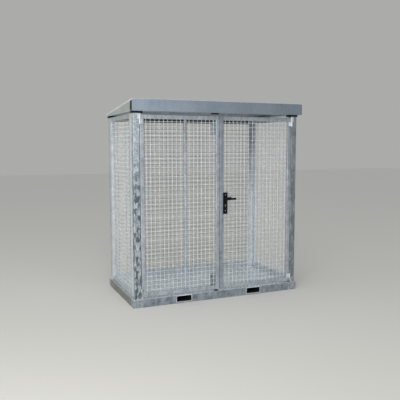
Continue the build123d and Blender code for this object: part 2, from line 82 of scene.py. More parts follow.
camera = bpy.data.objects.new("camera", bpy.data.cameras.new("camera"))
bpy.context.scene.collection.objects.link(camera)
camera.data.sensor_fit = "HORIZONTAL"
camera.data.sensor_width = 36
camera.data.lens = 47.82
camera.matrix_world = (
    Matrix.Translation(CAMERA_PLACE)
    @ Matrix.Rotation(-YAW_RIGHT, 4, "Z")
    @ Matrix.Rotation(math.pi / 2 - PITCH_DOWN, 4, "X")
    @ Matrix.Rotation(ROLL, 4, "Z")
)
bpy.context.scene.camera = camera
bpy.context.scene.view_settings.view_transform = "Standard"
print("camera at", [round(c, 3) for c in CAMERA_PLACE], "with a lens of", camera.data.lens, "mm")

# %% [markdown]
# ## Helpers for materials
#
# Colours are written as the hex codes that a paint program shows, and one function turns them to the
# linear values that the renderer wants. A second function adds a node with its settings and its
# links, so that each material below reads as a short list of steps.

# %% Helpers for materials
def linear(code):
    """Turns an sRGB hex code into a linear colour."""
    channels = [int(code[i : i + 2], 16) / 255 for i in (1, 3, 5)]
    return [c / 12.92 if c <= 0.04045 else ((c + 0.055) / 1.055) ** 2.4 for c in channels] + [1.0]


def add_node(tree, kind, sockets, **settings):
    """Adds a node. A socket's entry is a value, or the output that feeds it."""
    node = tree.nodes.new(kind)
    for setting, value in settings.items():
        setattr(node, setting, value)
    for socket, value in sockets.items():
        if isinstance(value, bpy.types.NodeSocket):
            tree.links.new(value, node.inputs[socket])
        else:
            node.inputs[socket].default_value = value
    return node


def start_material(name, metallic):
    """Starts a material and returns it with its tree, its shader and its Object coordinates."""
    material = bpy.data.materials.new(name)
    material.use_nodes = True
    tree = material.node_tree
    shader = tree.nodes["Principled BSDF"]
    shader.inputs["Metallic"].default_value = metallic
    place = add_node(tree, "ShaderNodeTexCoord", {}).outputs["Object"]
    return material, tree, shader, place


print("middle grey #808080 is", round(linear("#808080")[0], 3), "in linear light")

# %% [markdown]
# ## Hot-dip galvanised steel
#
# The welded frame is hung in molten zinc. The coat runs down while it is liquid and freezes into
# crystals, the spangle, so a post shows cloudy patches, long runs and cells about as large as a
# thumbnail. The clouds and the runs come first: noise makes the clouds, and a finer noise that is
# pulled long in Z makes the runs.

# %% Clouds and runs
COLOUR_A, COLOUR_B, COLOUR_OUT = 6, 7, 2
RUN_MM, RUN_STRETCH = 26, 0.14


def add_clouds(tree, place, light, dark, cloud_mm, run_share):
    """Mixes two tones by clouds and by long runs, and returns the colour."""
    cloud = add_node(
        tree,
        "ShaderNodeTexNoise",
        {"Vector": place, "Scale": 1000 / cloud_mm, "Detail": 4.0, "Roughness": 0.6},
    )
    long_place = add_node(
        tree, "ShaderNodeMapping", {"Vector": place, "Scale": (1.0, 1.0, RUN_STRETCH)}
    ).outputs["Vector"]
    run = add_node(
        tree,
        "ShaderNodeTexNoise",
        {"Vector": long_place, "Scale": 1000 / RUN_MM, "Detail": 3.0, "Roughness": 0.55},
    )
    both = add_node(
        tree,
        "ShaderNodeMix",
        {0: run_share, 2: cloud.outputs["Fac"], 3: run.outputs["Fac"]},
        data_type="FLOAT",
    )
    tone = add_node(
        tree,
        "ShaderNodeMapRange",
        {"Value": both.outputs[0], "From Min": 0.36, "From Max": 0.64},
    )
    clouded = add_node(
        tree,
        "ShaderNodeMix",
        {0: tone.outputs["Result"], COLOUR_A: linear(dark), COLOUR_B: linear(light)},
        data_type="RGBA",
    )
    return clouded.outputs[COLOUR_OUT]


print("runs about", RUN_MM, "mm wide and", round(RUN_MM / RUN_STRETCH), "mm long")

# %% [markdown]
# Low down on a post, painted shade lies over the zinc as dark slanted blotches. Noise
# that is turned and stretched gives them, and they fade out towards the top of the post.

# %% Blotches of painted shade
BLOTCH_MM, BLOTCH_STRETCH, BLOTCH_SLANT = 32, 0.45, math.radians(35)
BLOTCH_FULL_BELOW, BLOTCH_NONE_ABOVE = 1.2, 1.95


def add_painted_shade_blotches(tree, place, colour, shade_blotch):
    """Paints shade as dark slanted blotches over a colour, fewer towards the top, and returns the
    colour.
    """
    slanted = add_node(
        tree,
        "ShaderNodeMapping",
        {
            "Vector": place,
            "Rotation": (0.0, BLOTCH_SLANT, 0.0),
            "Scale": (1.0, 1.0, BLOTCH_STRETCH),
        },
    )
    spot = add_node(
        tree,
        "ShaderNodeTexNoise",
        {"Vector": slanted.outputs["Vector"], "Scale": 1000 / BLOTCH_MM, "Detail": 2.0},
    )
    spot_share = add_node(
        tree,
        "ShaderNodeMapRange",
        {
            "Value": spot.outputs["Fac"],
            "From Min": 0.47,
            "From Max": 0.57,
            "To Min": 0.16,
            "To Max": 1.0,
        },
    )
    # Painted shade: the blotches are full low down and fade out towards the top.
    height = add_node(tree, "ShaderNodeSeparateXYZ", {0: place})
    painted_shade_share = add_node(
        tree,
        "ShaderNodeMapRange",
        {
            "Value": height.outputs["Z"],
            "From Min": BLOTCH_FULL_BELOW,
            "From Max": BLOTCH_NONE_ABOVE,
            "To Min": 0.85,
            "To Max": 0.0,
        },
    )
    share = add_node(
        tree,
        "ShaderNodeMath",
        {0: spot_share.outputs["Result"], 1: painted_shade_share.outputs["Result"]},
        operation="MULTIPLY",
    )
    blotched = add_node(
        tree,
        "ShaderNodeMix",
        {0: share.outputs[0], COLOUR_A: colour, COLOUR_B: linear(shade_blotch)},
        data_type="RGBA",
    )
    return blotched.outputs[COLOUR_OUT]


print("blotches about", BLOTCH_MM, "mm wide, none above", BLOTCH_NONE_ABOVE, "m")

# %% [markdown]
# The zinc is a metal, but a dull one, with a roughness between about 0.3 and 0.5. Each crystal is
# turned its own way, so it is a little lighter and glossier, or darker and duller, than its neighbour:
# Voronoi cells make the crystals, one random number of each cell sets its tone and another its gloss.
# A fine noise as bump gives the coat its slightly pitted skin.

# %% Crystals
SKIN_MM = 7


def galvanised(
    name, light, dark, cloud_mm, spangle_mm, roughness, run_share=0.45, metallic=0.75,
    shade_blotch="", glint=(0.86, 1.08),
):
    """Zinc-coated steel: clouds between two tones, runs, crystals and, with a colour, blotches of
    painted shade.
    """
    material, tree, shader, place = start_material(name, metallic)
    colour = add_clouds(tree, place, light, dark, cloud_mm, run_share)
    if shade_blotch:
        colour = add_painted_shade_blotches(tree, place, colour, shade_blotch)
    crystal = add_node(
        tree, "ShaderNodeTexVoronoi", {"Vector": place, "Scale": 1000 / spangle_mm}
    )
    facing = add_node(tree, "ShaderNodeSeparateColor", {0: crystal.outputs["Color"]})
    glitter = add_node(
        tree,
        "ShaderNodeMapRange",
        {"Value": facing.outputs["Red"], "To Min": glint[0], "To Max": glint[1]},
    )
    spangled = add_node(
        tree,
        "ShaderNodeMix",
        {0: 1.0, COLOUR_A: colour, COLOUR_B: glitter.outputs["Result"]},
        data_type="RGBA",
        blend_type="MULTIPLY",
    )
    gloss = add_node(
        tree,
        "ShaderNodeMapRange",
        {"Value": facing.outputs["Green"], "To Min": roughness[0], "To Max": roughness[1]},
    )
    skin = add_node(
        tree, "ShaderNodeTexNoise", {"Vector": place, "Scale": 1000 / SKIN_MM, "Detail": 3.0}
    )
    bump = add_node(
        tree,
        "ShaderNodeBump",
        {"Height": skin.outputs["Fac"], "Strength": 0.25, "Distance": 0.0006},
    )
    tree.links.new(spangled.outputs[COLOUR_OUT], shader.inputs["Base Color"])
    tree.links.new(gloss.outputs["Result"], shader.inputs["Roughness"])
    tree.links.new(bump.outputs["Normal"], shader.inputs["Normal"])
    return material


print("the skin of the zinc has a grain of", SKIN_MM, "mm")

# %% [markdown]
# A wide face mirrors a bright or a dark part of its surroundings, which a plain stage doesn't have. So
# a last helper can darken a piece evenly from one place to another, along one axis of the object.

# %% An even shade
def shade_along(material, axis, light_at, dark_at, tone):
    """Multiplies a zinc's colour by a tone that grows from one place along an axis to another."""
    tree = material.node_tree
    shader = tree.nodes["Principled BSDF"]
    colour = shader.inputs["Base Color"].links[0].from_socket
    place = add_node(tree, "ShaderNodeTexCoord", {}).outputs["Object"]
    split = add_node(tree, "ShaderNodeSeparateXYZ", {0: place})
    share = add_node(
        tree,
        "ShaderNodeMapRange",
        {"Value": split.outputs[axis], "From Min": light_at, "From Max": dark_at},
    )
    shaded = add_node(
        tree,
        "ShaderNodeMix",
        {0: share.outputs["Result"], COLOUR_A: colour, COLOUR_B: linear(tone)},
        data_type="RGBA",
        blend_type="MULTIPLY",
    )
    tree.links.new(shaded.outputs[COLOUR_OUT], shader.inputs["Base Color"])
    print(material.name, "is shaded along", axis)


# %% [markdown]
# ## The zinc of each group of pieces
#
# Pieces that were dipped together still differ: a thick post cools slowly and keeps large, contrasting
# crystals, a thin leaf frame stays even, and the base is scuffed and dull. So each group has its own
# two tones, cloud size and gloss. Pieces that lie deep in shade, such as the keeper under the roof,
# the floor bearers and the back's top rails, get a dark zinc as painted shade, because the soft light
# of the stage would reach them. Some other groups carry painted highlights and painted shade too.

# %% Posts, panels, leaves and base
# The front left post carries blotches of painted shade.
post_zinc = galvanised(
    "hot_dip_galvanised_post", "#E9F0F5", "#A7B1B9", 85, 13, (0.28, 0.46),
    shade_blotch="#4C565D", glint=(0.7, 1.2),
)
# Painted shade: a darker copy of the post zinc, with long runs, for the right front post and the bolt
# plates.
shaded_post_zinc = galvanised(
    "streaked_and_shaded_galvanised_post", "#BBC2C6", "#868E94", 60, 13, (0.3, 0.46), run_share=0.9,
    shade_blotch="#7F878B",
)
# Painted highlight: a paler, more diffuse post zinc for the side panels' stiles.
back_post_zinc = galvanised(
    "galvanised_post_painted_highlight", "#E8EDF0", "#C3CBD0", 85, 13, (0.28, 0.42), metallic=0.35
)
# Painted light: the back right post is pale, a painted glint, and shade_along darkens it above 0.9 m
# as painted shade.
corner_post_zinc = galvanised(
    "galvanised_corner_post_painted_glint_and_shade", "#F1F5F7", "#D2D9DD", 85, 13, (0.28, 0.42), metallic=0.35
)
shade_along(corner_post_zinc, "Z", 0.9, 1.9, "#A9B0B5")
plain_zinc = galvanised("hot_dip_galvanised_panel", "#DDE4EA", "#B4BDC4", 85, 13, (0.28, 0.46))
leaf_zinc = galvanised("hot_dip_galvanised_leaf", "#CFD4DB", "#A4ABB4", 70, 12, (0.28, 0.44))
# Painted shade: the right leaf's stiles, darkened by shade_along towards the meeting edge.
right_stile_zinc = galvanised(
    "hot_dip_galvanised_stile_painted_shade", "#CFD4DB", "#A4ABB4", 70, 12, (0.28, 0.44)
)
shade_along(right_stile_zinc, "X", 0.6, 0.1, "#E2E4E6")
base_zinc = galvanised("hot_dip_galvanised_base", "#B2BAC2", "#7C838B", 60, 13, (0.32, 0.5))
foot_zinc = galvanised("hot_dip_galvanised_foot", "#C4CBD2", "#868D95", 40, 13, (0.3, 0.48))
# Painted shade: the sides of the base are darker and warmer than its front.
base_side_zinc = galvanised(
    "hot_dip_galvanised_base_side_painted_shade", "#A0A39C", "#73766F", 60, 13, (0.36, 0.52)
)
# Painted shade: dark zinc for the floor bearers and for the keeper under the roof.
inner_zinc = galvanised("shaded_galvanised_bearer", "#868B8F", "#585D61", 60, 13, (0.42, 0.62))
keeper_zinc = galvanised("shaded_galvanised_keeper", "#1E2124", "#121416", 60, 13, (0.5, 0.7))
shaded_zinc = galvanised("shaded_galvanised_rail", "#4A4F53", "#2C3033", 60, 13, (0.5, 0.7))
print("zinc finishes so far", sum("galvanised" in m.name for m in bpy.data.materials))

# %% [markdown]
# ## Galvanised wire, sheet floor and roof sheet
#
# Wire is dipped too, but a wire five millimetres thick has no room for crystals, so it is an even
# zinc with only a faint change along its length, and glossy enough to have a light and a dark side.
# The wires of the back are a darker copy of the same wire, painted shade, so that the doors' mesh
# stays readable in front of them. The floor is a dipped sheet that gas cylinders have been rolled
# over, cloudy and pale. The roof is folded from coil-coated zinc sheet, which is smooth, bluish and
# almost free of pattern. Its side plates and its hem are painted paler where they turn to the light,
# a painted highlight, and the small hinges are painted the brightest, as a painted highlight.

# %% Galvanised wire, sheet floor and roof sheet
wire_zinc = galvanised(
    "galvanised_wire", "#F6F8F8", "#DCE0E2", 40, 6, (0.25, 0.36), run_share=0.1, metallic=0.35
)
# Painted shade: the back panels' wires are a darker copy of the door wire.
back_wire_zinc = galvanised(
    "shaded_galvanised_wire", "#A3A9AD", "#83898E", 40, 6, (0.3, 0.45), run_share=0.1, metallic=0.85
)
floor_zinc = galvanised(
    "galvanised_floor_sheet", "#EDF5FA", "#D5E0E8", 140, 15, (0.24, 0.36), run_share=0.0,
    metallic=0.5,
)
roof_zinc = galvanised(
    "coated_roof_sheet", "#B4BFCA", "#A4AFBA", 260, 5, (0.30, 0.36), run_share=0.2, metallic=0.85
)
# Painted highlight: the side plates are a paler copy of the roof sheet, turned to the light.
side_zinc = galvanised(
    "coated_side_plate_painted_highlight", "#DFE5E3", "#CFD5D3", 260, 5, (0.30, 0.36), run_share=0.2, metallic=0.85
)
# Painted highlight: this bright zinc gives the right hinges, the welds and the base's folds their
# bright lines.
hinge_zinc = galvanised(
    "galvanised_hinge_painted_highlight", "#E9ECEE", "#CDD2D6", 40, 8, (0.26, 0.36), run_share=0.0, metallic=0.2
)
# Painted shade: a copy of the hinge zinc with dark blotches low down, for the posts' knuckles and the
# left leaf's hinges.
shaded_hinge_zinc = galvanised(
    "shaded_galvanised_hinge", "#E9ECEE", "#CDD2D6", 40, 8, (0.26, 0.36), run_share=0.0, metallic=0.2,
    shade_blotch="#565C62",
)
# Painted highlight: a paler copy of the roof sheet, for the roof sheet's hem and underside and the
# side plates' folds.
hem_zinc = galvanised(
    "roof_sheet_painted_highlight", "#F3F6F8", "#DDE3E8", 260, 5, (0.3, 0.4), run_share=0.0, metallic=0.3
)
print("smooth sheet", [m.name for m in (floor_zinc, roof_zinc, side_zinc, hem_zinc)])

# %% [markdown]
# ## Plastic, lock parts and bolts
#
# The pads under the roof are rubbery polyethylene, and the lock furniture is nylon over a steel core:
# both are black, moulded and not metal. The lock cylinder is brass under a thin nickel plate, and the
# shoot bolts are bright zinc-plated bar.

# %% Plastic, lock parts and bolts
def moulded(name, colour, roughness, grain_mm):
    """Moulded plastic with a fine grain in its surface."""
    material, tree, shader, place = start_material(name, 0.0)
    grain = add_node(
        tree, "ShaderNodeTexNoise", {"Vector": place, "Scale": 1000 / grain_mm, "Detail": 2.0}
    )
    wear = add_node(
        tree,
        "ShaderNodeMapRange",
        {
            "Value": grain.outputs["Fac"],
            "From Min": 0.3,
            "From Max": 0.7,
            "To Min": roughness - 0.08,
            "To Max": roughness + 0.08,
        },
    )
    bump = add_node(
        tree, "ShaderNodeBump", {"Height": grain.outputs["Fac"], "Strength": 0.2, "Distance": 0.0003}
    )
    shader.inputs["Base Color"].default_value = linear(colour)
    shader.inputs["Specular IOR Level"].default_value = 0.2
    tree.links.new(wear.outputs["Result"], shader.inputs["Roughness"])
    tree.links.new(bump.outputs["Normal"], shader.inputs["Normal"])
    return material


def plated(name, colour, roughness, brush_mm):
    """Bright plated metal with fine drawing marks."""
    material, tree, shader, place = start_material(name, 1.0)
    drawn = add_node(tree, "ShaderNodeMapping", {"Vector": place, "Scale": (1.0, 1.0, 0.05)})
    marks = add_node(
        tree,
        "ShaderNodeTexNoise",
        {"Vector": drawn.outputs["Vector"], "Scale": 1000 / brush_mm, "Detail": 2.0},
    )
    gloss = add_node(
        tree,
        "ShaderNodeMapRange",
        {"Value": marks.outputs["Fac"], "To Min": roughness - 0.1, "To Max": roughness + 0.1},
    )
    shader.inputs["Base Color"].default_value = linear(colour)
    tree.links.new(gloss.outputs["Result"], shader.inputs["Roughness"])
    return material


pad_plastic = moulded("black_polyethylene", "#1E2022", 0.55, 3)
lock_plastic = moulded("black_nylon", "#070808", 0.55, 2)
nickel = plated("nickel_plated_brass", "#8E8C85", 0.3, 1.5)
bolt_zinc = plated("zinc_plated_bar", "#B7BDC2", 0.36, 2)
print("small parts", [m.name for m in (pad_plastic, lock_plastic, nickel, bolt_zinc)])

# %% [markdown]
# ## Finishes of the CAD pieces
#
# Most CAD nodes take the finish of their group, which their name tells. The table holds only those
# that differ. The nodes that are built again further down bring their own finish.

# %% Finishes of the CAD pieces
NODE_MATERIAL = {
    "front_left_post": post_zinc,
    "front_right_post": shaded_post_zinc,
    "back_right_post": corner_post_zinc,
    "post_pads": pad_plastic,
    "post_hinge_knuckles": shaded_hinge_zinc,
    "side_panel_stiles": back_post_zinc,
    "back_top_rails": shaded_zinc,
    "base_side_channels": base_side_zinc,
    "base_corner_feet": foot_zinc,
    "fork_pocket_left": shaded_zinc,
    "fork_pocket_right": shaded_zinc,
    "floor_bearers": inner_zinc,
    "floor_sheet": floor_zinc,
    "roof_sheet": hem_zinc,
    "roof_side_plates": side_zinc,
    "roof_bearers": leaf_zinc,
    "bolt_keeper": keeper_zinc,
    "right_door_stiles": right_stile_zinc,
    "left_door_bolt_plates": shaded_post_zinc,
    "top_bolt": bolt_zinc,
    "bottom_bolt": bolt_zinc,
    "lock_case": leaf_zinc,
    "lock_backplates": lock_plastic,
    "lock_cylinder": nickel,
}
for node_name, node in nodes.items():
    if node_name in NODE_MATERIAL:
        material = NODE_MATERIAL[node_name]
    elif node_name.startswith("roof_"):
        material = roof_zinc
    elif node_name.startswith("base_"):
        material = base_zinc
    elif "_door_" in node_name:
        material = leaf_zinc
    else:
        material = plain_zinc
    for slot in node.material_slots:
        slot.material = material
print("materials", sorted(m.name for m in bpy.data.materials if m.users))

# %% [markdown]
# ## Helpers for pieces
#
# Every added piece starts as an empty bmesh, is shaped by bmesh operators where it will stay, and
# becomes one object at the origin that rides on its body. Rods and rounded blocks are the two shapes
# that come back most, so each has a helper. Neighbouring points share their edges, and dict.fromkeys
# keeps each of them once, in the same order in every run, which a set wouldn't.

# %% Helpers for pieces
def finish_piece(shape, name, body, material, smooth_degrees=35):
    """Turns a bmesh into an object that rides on a body."""
    mesh = bpy.data.meshes.new(name)
    shape.to_mesh(mesh)
    shape.free()
    mesh.materials.append(material)
    piece = bpy.data.objects.new(name, mesh)
    bpy.context.scene.collection.objects.link(piece)
    mesh.shade_smooth()
    mesh.set_sharp_from_angle(angle=math.radians(smooth_degrees))
    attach(piece, body)
    print(name, len(mesh.vertices), "vertices")
    return piece


def between(start, end):
    """Matrix that lays the Z axis of a shape along a line, with its middle halfway."""
    line = end - start
    return Matrix.Translation((start + end) / 2) @ line.to_track_quat("Z", "Y").to_matrix().to_4x4()


def add_rod(shape, start, end, radius, sides=10, end_radius=None):
    """Adds a closed round rod from one point to another and returns its points."""
    return bmesh.ops.create_cone(
        shape,
        cap_ends=True,
        segments=sides,
        radius1=radius,
        radius2=radius if end_radius is None else end_radius,
        depth=(end - start).length,
        matrix=between(start, end),
    )["verts"]


def add_block(shape, low, high, rounding):
    """Adds a block between two corners, with rounded edges, and returns its points."""
    size = high - low
    place = Matrix.Translation((low + high) / 2) @ Matrix.Diagonal((*size, 1.0))
    points = bmesh.ops.create_cube(shape, size=1.0, matrix=place)["verts"]
    edges = list(dict.fromkeys(edge for point in points for edge in point.link_edges))
    rounded = bmesh.ops.bevel(
        shape, geom=edges, offset=rounding, segments=3, profile=0.5, affect="EDGES", material=-1
    )
    return rounded["verts"]


# %% [markdown]
# ## Welded mesh
#
# The panels are welded from round wires at a 50 mm pitch: upright wires on one side and level wires
# behind them, pressed together by the welding until they share a little of their thickness. In CAD
# they are square bars, so here each panel is built again from round wires at the same places. An array
# modifier could repeat the wires, but copying one wire along the pitch in the bmesh leaves a mesh that
# can be cut afterwards.

# %% Copies along a pitch
MESH_PITCH = 50 * MM
RIGHTWARD, BACKWARD, UPWARD = Vector((1, 0, 0)), Vector((0, 1, 0)), Vector((0, 0, 1))
LEFTWARD, FRONTWARD = -RIGHTWARD, -BACKWARD


def with_faces(points):
    """The points with every edge and face that they carry."""
    edges = dict.fromkeys(edge for point in points for edge in point.link_edges)
    faces = dict.fromkeys(face for point in points for face in point.link_faces)
    return [*points, *edges, *faces]


def repeat(shape, geometry, step, count):
    """Copies geometry until it stands count times, each a step on, and returns it all."""
    every = list(geometry)
    for turn in range(1, count):
        copied = bmesh.ops.duplicate(shape, geom=geometry)["geom"]
        moved = [item for item in copied if isinstance(item, bmesh.types.BMVert)]
        bmesh.ops.translate(shape, verts=moved, vec=step * turn)
        every += copied
    return every


print("pitch of the mesh", round(MESH_PITCH / MM), "mm")

# %% [markdown]
# Where the lock case stands in the mesh, the wires stop. Planes cut them at its edges, what lies
# between the planes is deleted, and the cut ends are closed again.

# %% Wires that stop at the lock
def cut_free(shape, low, high):
    """Removes what lies between two corners, seen from the front, and closes the cut ends."""
    for corner, facing in ((low, UPWARD), (high, UPWARD), (high, RIGHTWARD)):
        everything = shape.verts[:] + shape.edges[:] + shape.faces[:]
        bmesh.ops.bisect_plane(shape, geom=everything, plane_co=corner, plane_no=facing)
    inside = [
        face
        for face in shape.faces
        if face.calc_center_median().x < high.x and low.z < face.calc_center_median().z < high.z
    ]
    bmesh.ops.delete(shape, geom=inside, context="FACES")
    open_edges = [edge for edge in shape.edges if edge.is_boundary]
    bmesh.ops.holes_fill(shape, edges=open_edges, sides=16)
    bmesh.ops.recalc_face_normals(shape, faces=shape.faces[:])
    print("closed", len(open_edges), "open edges")


# %% [markdown]
# Zinc gathers in the corner where two wires cross and where a wire meets the frame, so each such place
# gets a small bead a little thicker than the wire. One bead is copied to a row, and the row upwards.
# With several thousand beads in all, a bead has only the twenty faces of the simplest ball.

# %% One panel of wires
WIRE_RADIUS, WIRE_OVERLAP, WIRE_SIDES = 2.5 * MM, 0.5 * MM, 8
BEAD_RADIUS = 3.6 * MM
ROUND_OFF = 1e-4


def add_beads(shape, first, step, count, row_step, rows):
    """Adds rows of weld beads that start at one place."""
    bead = bmesh.ops.create_icosphere(
        shape, subdivisions=1, radius=BEAD_RADIUS, matrix=Matrix.Translation(first)
    )
    bead_row = repeat(shape, with_faces(bead["verts"]), step, count)
    repeat(shape, bead_row, row_step, rows)


def wire_mesh(name, node_name, body, along, upright_side, zinc, cut_for=None):
    """Builds one panel of round wires in the place of a CAD mesh node.

    along is the level direction in the panel, upright_side the face on which the upright wires lie,
    zinc the material and cut_for the node that the wires stop at.
    """
    low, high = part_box(node_name)
    width = (high - low).dot(along)
    height = high.z - low.z
    columns = int(width / MESH_PITCH + ROUND_OFF)
    rows = int(height / MESH_PITCH + ROUND_OFF)
    corner = Vector([(low[i] + high[i]) / 2 if upright_side[i] else low[i] for i in range(3)])
    apart = upright_side * (WIRE_RADIUS - WIRE_OVERLAP / 2)
    first_column = along * (width - (columns - 1) * MESH_PITCH) / 2
    first_row = UPWARD * (height - (rows - 1) * MESH_PITCH) / 2
    across, rise = along * MESH_PITCH, UPWARD * MESH_PITCH

    shape = bmesh.new()
    foot = corner + first_column + apart
    wire = with_faces(add_rod(shape, foot, foot + UPWARD * height, WIRE_RADIUS, WIRE_SIDES))
    repeat(shape, wire, across, columns)
    foot = corner + first_row - apart
    wire = with_faces(add_rod(shape, foot, foot + along * width, WIRE_RADIUS, WIRE_SIDES))
    repeat(shape, wire, rise, rows)
    add_beads(shape, corner + first_column + first_row, across, columns, rise, rows)
    add_beads(shape, corner + first_column + apart, across, columns, UPWARD * height, 2)
    add_beads(shape, corner + first_row - apart, rise, rows, along * width, 2)
    if cut_for:
        cut_free(shape, *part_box(cut_for))
    piece = finish_piece(shape, name, body, zinc, 60)
    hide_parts(node_name)
    print(name, columns, "upright and", rows, "level wires")


# %% The six panels
wire_mesh("left_side_wires", "left_side_mesh", "cage", BACKWARD, LEFTWARD, wire_zinc)
wire_mesh("right_side_wires", "right_side_mesh", "cage", BACKWARD, LEFTWARD, wire_zinc)
wire_mesh("back_left_wires", "back_left_mesh", "cage", RIGHTWARD, FRONTWARD, back_wire_zinc)
wire_mesh("back_right_wires", "back_right_mesh", "cage", RIGHTWARD, FRONTWARD, back_wire_zinc)
wire_mesh("left_door_wires", "left_door_mesh", "left_door", RIGHTWARD, FRONTWARD, wire_zinc)
wire_mesh(
    "right_door_wires", "right_door_mesh", "right_door", RIGHTWARD, FRONTWARD, wire_zinc, "lock_case"
)

# %% [markdown]
# ## Lock furniture
#
# The lever on the real lock is a nylon casting: a thick hub on a collar beside the plate, and a
# flatter grip that leaves it a little lower down. It could be carved from one block, but two rounded
# blocks and a collar on the spindle give the same outline with far less work, and the joints vanish in
# black plastic. The same lever is repeated on the inside. The plates get their screws, and the
# cylinder its plug with a keyway.

# %% Lever
COLLAR_RADIUS, COLLAR_HEIGHT = 13 * MM, 6 * MM
CONE_RADIUS, CONE_HEIGHT = 10 * MM, 4 * MM
SPINDLE_RADIUS = 8.7 * MM
HUB_LENGTH, HUB_THICKNESS, HUB_MARGIN = 50 * MM, 13 * MM, 3 * MM
GRIP_START, LEVER_ROUNDING = 20 * MM, 3 * MM

lever_low, lever_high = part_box("lever_handle")
plate_low, plate_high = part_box("lock_backplates")
axis_x = lever_low.x + COLLAR_RADIUS
axis_z = (lever_low.z + lever_high.z) / 2
spindle_front = Vector((axis_x, lever_low.y + 2 * MM, axis_z))
spindle_back = Vector((axis_x, lever_high.y - 2 * MM, axis_z))
shape = bmesh.new()
add_rod(shape, spindle_front, spindle_back, SPINDLE_RADIUS, 24)
for plate_y, lever_y, outward in (
    (plate_low.y, lever_low.y, FRONTWARD),
    (plate_high.y, lever_high.y, BACKWARD),
):
    collar = Vector((axis_x, plate_y, axis_z)) + outward * 0.3 * MM
    cone = collar + outward * COLLAR_HEIGHT
    add_rod(shape, collar, cone, COLLAR_RADIUS, 32)
    add_rod(shape, cone, cone + outward * CONE_HEIGHT, COLLAR_RADIUS, 32, CONE_RADIUS)
    near, far = sorted((lever_y, lever_y - outward.y * HUB_THICKNESS))
    hub_low = Vector((lever_low.x, near, lever_low.z - HUB_MARGIN))
    hub_high = Vector((axis_x + HUB_LENGTH, far, lever_high.z + HUB_MARGIN))
    add_block(shape, hub_low, hub_high, LEVER_ROUNDING)
    grip_low = Vector((axis_x + GRIP_START, near + 1 * MM, lever_low.z - 1 * MM))
    grip_high = Vector((lever_high.x, far - 1 * MM, lever_high.z - 4 * MM))
    add_block(shape, grip_low, grip_high, LEVER_ROUNDING)
piece = finish_piece(shape, "lever_and_spindle", "lever", lock_plastic, 40)
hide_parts("lever_handle")

# %% Screws of the lock plates
UPPER_SCREW_DOWN, LOWER_SCREW_UP = 26 * MM, 38 * MM
DOME_RADIUS, DOME_TOP_RADIUS, DOME_HEIGHT = 5.5 * MM, 4.6 * MM, 1.2 * MM

shape = bmesh.new()
for plate_y, outward in ((plate_low.y, FRONTWARD), (plate_high.y, BACKWARD)):
    for screw_z in (plate_high.z - UPPER_SCREW_DOWN, plate_low.z + LOWER_SCREW_UP):
        seat = Vector((axis_x, plate_y, screw_z))
        add_rod(shape, seat, seat + outward * DOME_HEIGHT, DOME_RADIUS, 20, DOME_TOP_RADIUS)
finish_piece(shape, "backplate_screws", "right_door", bolt_zinc)

# %% Screws of the bolt plates
SCREW_FROM_END, SCREW_FROM_FAR_END, SCREW_FROM_SIDE = 12 * MM, 138 * MM, 10 * MM
HEX_RADIUS, HEX_TOP_RADIUS, HEX_ROOT, HEX_HEIGHT = 5 * MM, 4.4 * MM, 1 * MM, 3.5 * MM

low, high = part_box("left_door_bolt_plates")
shape = bmesh.new()
for x in (low.x + SCREW_FROM_SIDE, high.x - SCREW_FROM_SIDE):
    for reach in (SCREW_FROM_END, SCREW_FROM_FAR_END):
        for z in (low.z + reach, high.z - reach):
            root = Vector((x, low.y + HEX_ROOT, z))
            top = Vector((x, low.y - HEX_HEIGHT, z))
            add_rod(shape, root, top, HEX_RADIUS, 6, HEX_TOP_RADIUS)
finish_piece(shape, "bolt_plate_screws", "left_door", shaded_zinc)

# %% Plug and keyway
PLUG_DOWN, PLUG_RADIUS, PLUG_PROUD = 8.5 * MM, 6.4 * MM, 0.8 * MM
KEYWAY_WIDTH, KEYWAY_HEIGHT, KEYWAY_ROUNDING = 1.6 * MM, 8.4 * MM, 0.15 * MM

cylinder_low, cylinder_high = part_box("lock_cylinder")
plug_back = Vector((axis_x, cylinder_low.y, cylinder_high.z - PLUG_DOWN))
plug_front = plug_back + FRONTWARD * PLUG_PROUD
shape = bmesh.new()
add_rod(shape, plug_back, plug_front, PLUG_RADIUS, 28)
finish_piece(shape, "lock_plug", "right_door", nickel)
shape = bmesh.new()
half_slot = Vector((KEYWAY_WIDTH / 2, 0, KEYWAY_HEIGHT / 2))
keyway_low = plug_front - half_slot + FRONTWARD * 0.1 * MM
keyway_high = plug_front + half_slot + BACKWARD * 0.4 * MM
add_block(shape, keyway_low, keyway_high, KEYWAY_ROUNDING)
finish_piece(shape, "keyway", "right_door", lock_plastic)

# %% [markdown]
# ## Weld beads
#
# Everything but the roof sheet is welded before it is dipped, so a ripple of weld stays visible under
# the zinc: round the feet of the posts, at the corners of the door frames and round the mouths of the
# fork pockets. A real bead is a row of frozen puddles. One short tapered disc is one puddle, and a row
# of them along a line is a bead. Nothing may stand past the back of the CAD frame, so the beads there
# are moved in.

# %% A bead of weld
PUDDLE_LENGTH = 4 * MM
PUDDLE_OVERLAP, PUDDLE_TAPER = 1.15, 0.72


def add_weld(shape, start, end, radius):
    """Adds a bead of overlapping puddles from one point to another."""
    puddles = max(2, round((end - start).length / PUDDLE_LENGTH))
    step = (end - start) / puddles
    puddle = add_rod(
        shape, start, start + step * PUDDLE_OVERLAP, radius, 8, radius * PUDDLE_TAPER
    )
    repeat(shape, with_faces(puddle), step, puddles)


def weld_loop(shape, corners, radius):
    """Adds beads along a closed loop of corners."""
    for start, end in zip(corners, corners[1:] + corners[:1]):
        add_weld(shape, start, end, radius)


def level_loop(low, high, z):
    """Corners of a level rectangle at one height."""
    places = ((low.x, low.y), (high.x, low.y), (high.x, high.y), (low.x, high.y))
    return [Vector((x, y, z)) for x, y in places]


print("one puddle is", round(PUDDLE_LENGTH / MM), "mm long")

